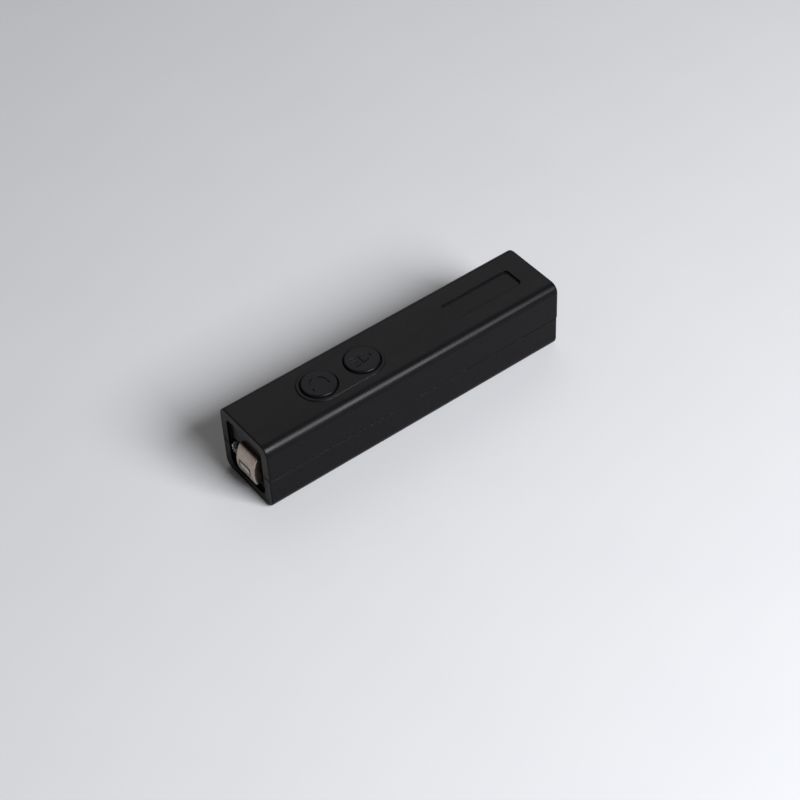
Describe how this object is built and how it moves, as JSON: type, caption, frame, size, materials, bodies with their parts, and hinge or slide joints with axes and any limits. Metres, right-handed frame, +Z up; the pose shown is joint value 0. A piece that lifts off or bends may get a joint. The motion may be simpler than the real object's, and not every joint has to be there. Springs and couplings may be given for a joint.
{
  "type": "counterfeit bill detector",
  "caption": "Pocket banknote detector stick with a magnetic reading head, a UV lamp beside it, push buttons on top and a sliding battery door.",
  "frame": {"origin": "on the resting surface, below the middle of the whole length, midway between the long sides", "axes": "+X from the reading head to the tail, +Z up through the buttons, +Y towards the lamp side"},
  "size_m": [0.097, 0.0212, 0.0225],
  "materials": {
    "case_plastic": "satin moulded black",
    "button_plastic": "satin moulded black",
    "screw_steel": "blackened",
    "stem_plastic": "moulded",
    "spring_steel": "bright",
    "switch_plastic": "moulded",
    "tinned_metal": "tinned",
    "board_laminate": "solder mask over glass laminate",
    "chip_resin": "moulded",
    "capacitor_ceramic": "fired",
    "ferrite": "sintered",
    "capacitor_can": "drawn",
    "trimmer_plastic": "moulded",
    "nickel_silver": "satin",
    "core_alloy": "lapped laminations",
    "gap_brass": "lapped",
    "potting_resin": "lapped",
    "bobbin_plastic": "moulded",
    "copper": "enamelled wire",
    "fibre_board": "pressed",
    "foam": "open cell",
    "clear_epoxy": "clear",
    "cell_steel": "plated",
    "cell_wrap": "shrink film",
    "seal_plastic": "moulded",
    "motor_steel": "plated",
    "motor_plastic": "moulded",
    "magnet": "sintered",
    "boot_rubber": "moulded",
    "red_insulation": "extruded",
    "black_insulation": "extruded",
    "blue_insulation": "extruded",
    "white_insulation": "extruded"
  },
  "bodies": {
    "root": {"upper_shell": "case_plastic", "lower_shell": "case_plastic", "case_screws": "screw_steel", "alert_switch_dome": "spring_steel", "torch_switch_dome": "spring_steel", "negative_contact_spring": "spring_steel", "positive_contact": "spring_steel", "negative_contact": "spring_steel", "switch_covers": "spring_steel", "switch_bases": "switch_plastic", "switch_pins": "tinned_metal", "read_head_terminals": "tinned_metal", "uv_led_leads": "tinned_metal", "circuit_board": "board_laminate", "amplifier_chip": "chip_resin", "controller_chip": "chip_resin", "chip_resistors": "chip_resin", "chip_capacitors": "capacitor_ceramic", "boost_inductor": "ferrite", "smoothing_capacitor": "capacitor_can", "sensitivity_trimmer": "trimmer_plastic", "read_head_can": "nickel_silver", "read_head_core": "core_alloy", "read_head_gap_spacer": "gap_brass", "read_head_resin": "potting_resin", "read_head_bobbin": "bobbin_plastic", "read_head_coil": "copper", "read_head_terminal_board": "fibre_board", "read_head_pad": "foam", "uv_led_lens": "clear_epoxy", "cell_can": "cell_steel", "cell_positive_cap": "cell_steel", "cell_sleeve": "cell_wrap", "cell_seal": "seal_plastic", "motor_can": "motor_steel", "motor_end_cap": "motor_plastic", "motor_magnet": "magnet", "motor_boot": "boot_rubber", "positive_wire": "red_insulation", "negative_wire": "black_insulation", "motor_wires": "blue_insulation", "head_wires": "white_insulation"},
    "alert_button": {"alert_button_cap": "button_plastic", "alert_switch_stem": "stem_plastic"},
    "torch_button": {"torch_button_cap": "button_plastic", "torch_switch_stem": "stem_plastic"},
    "battery_door": {"battery_door": "case_plastic"},
    "motor_rotor": {"motor_shaft": "motor_steel", "motor_armature": "copper", "eccentric_weight": "motor_steel"}
  },
  "joints": [
    {"name": "alert_button_press", "type": "slide", "parent": "root", "child": "alert_button", "axis": [0, 0, -1], "range_m": [0, 0.00035], "stiffness_N_per_m": 2500, "deforming": ["alert_switch_dome"]},
    {"name": "torch_button_press", "type": "slide", "parent": "root", "child": "torch_button", "axis": [0, 0, -1], "range_m": [0, 0.00035], "stiffness_N_per_m": 2500, "deforming": ["torch_switch_dome"]},
    {"name": "battery_door_slide", "type": "slide", "parent": "root", "child": "battery_door", "axis": [1, 0, 0], "range_m": [0, 0.046]},
    {"name": "motor_spin", "type": "hinge", "parent": "root", "child": "motor_rotor", "pos_m": [-0.01595, 0, 0.0061], "axis": [1, 0, 0], "continuous": true}
  ]
}
